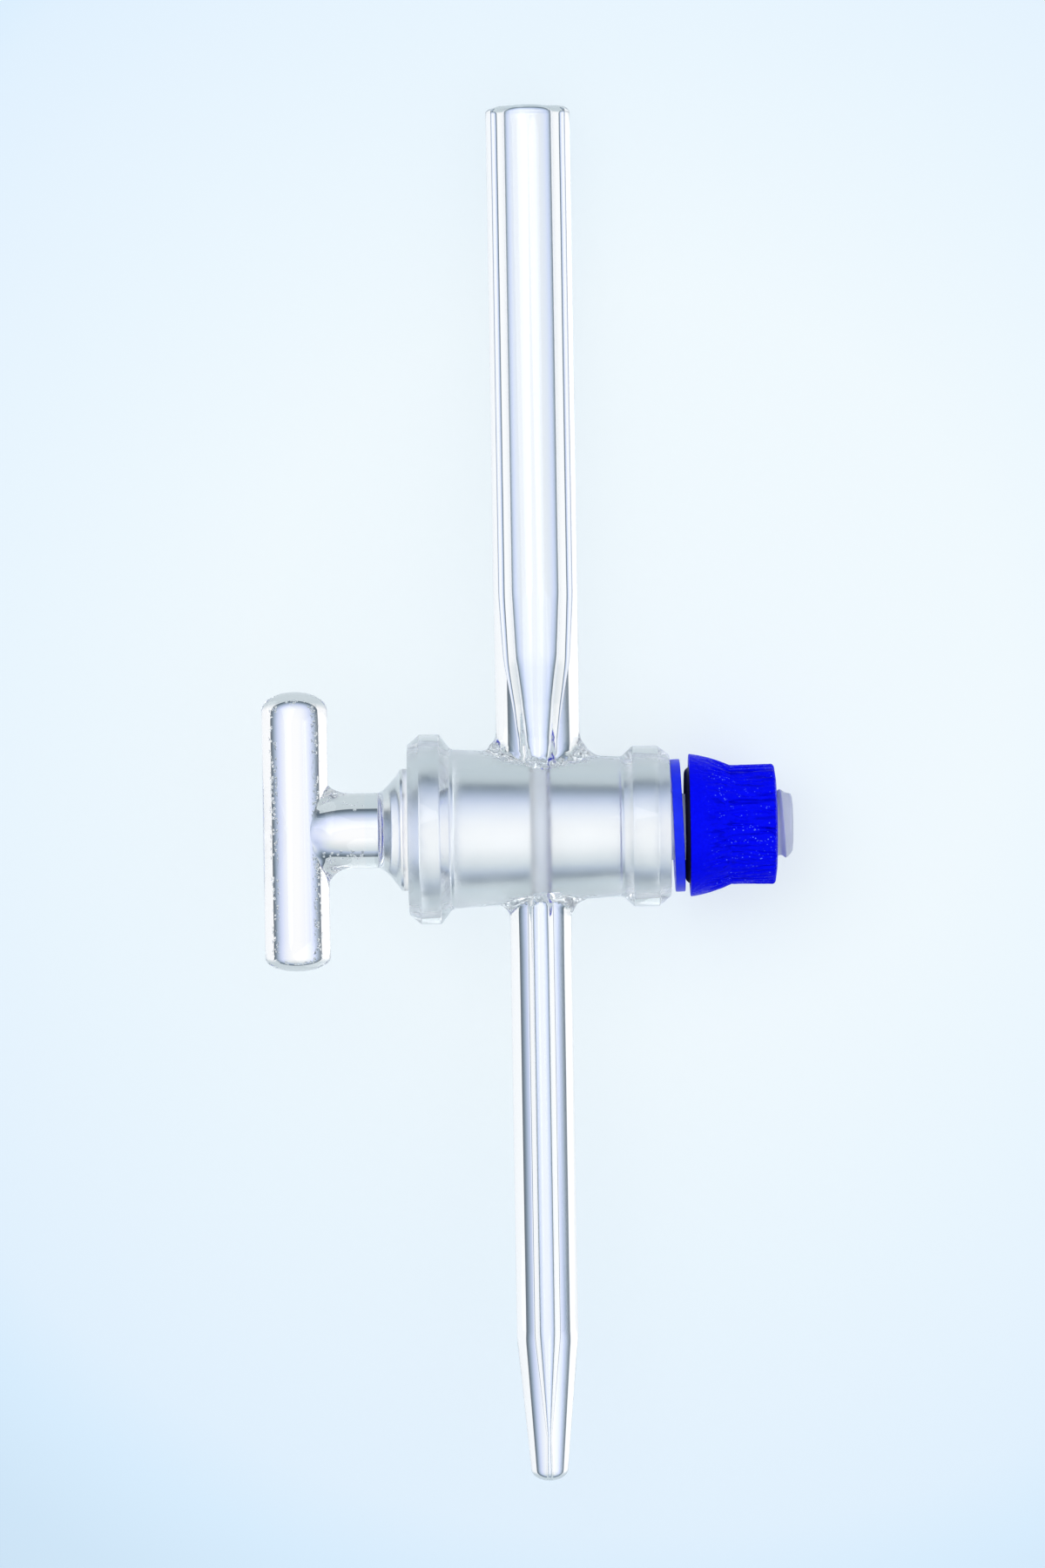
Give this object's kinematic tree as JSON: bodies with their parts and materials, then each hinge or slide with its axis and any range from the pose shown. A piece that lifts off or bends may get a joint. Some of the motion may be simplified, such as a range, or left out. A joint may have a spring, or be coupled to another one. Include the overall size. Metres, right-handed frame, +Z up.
{
  "type": "glass stopcock",
  "caption": "Burette stopcock of clear glass: tapered barrel with inlet tube and drawn jet, ground plug with T-handle, and blue retaining nut with washer and seal ring.",
  "frame": {"origin": "middle of the laid part's outline, on the surface it lies on", "axes": "+Y along the tubes from the jet to the inlet and +X along the plug from its handle to the nut, both as nearly as the resting part lets them be; +Z up"},
  "size_m": [0.0629, 0.1626, 0.0226],
  "materials": {
    "clear_glass": "clear fire-polished borosilicate glass with a ground seat",
    "plug_glass": "clear fire-polished borosilicate glass with a ground taper",
    "washer_plastic": "smooth moulded blue plastic",
    "rubber": "black rubber",
    "nut_plastic": "moulded blue plastic with fine grip ribs"
  },
  "bodies": {
    "barrel": {"barrel": "clear_glass"},
    "plug": {"plug": "plug_glass"},
    "seal": {"washer": "washer_plastic", "seal_ring": "rubber"},
    "nut": {"nut": "nut_plastic"}
  },
  "joints": [
    {"name": "plug_turn", "type": "hinge", "parent": "barrel", "child": "plug", "pos_m": [0.00123, -0.00414, 0.01043], "axis": [0.9977, 0, -0.0673], "continuous": true},
    {"name": "seal_slide", "type": "slide", "parent": "plug", "child": "seal", "axis": [0.9977, 0, -0.0673], "range_m": [0, 0.009]},
    {"name": "nut_turn", "type": "hinge", "parent": "seal", "child": "nut", "pos_m": [0.00123, -0.00414, 0.01043], "axis": [0.9977, 0, -0.0673], "range_deg": [0, 2160]}
  ],
  "couplings": [
    {"joint": "nut_turn", "follows": "seal_slide", "rad_per_m": 4188.8}
  ]
}
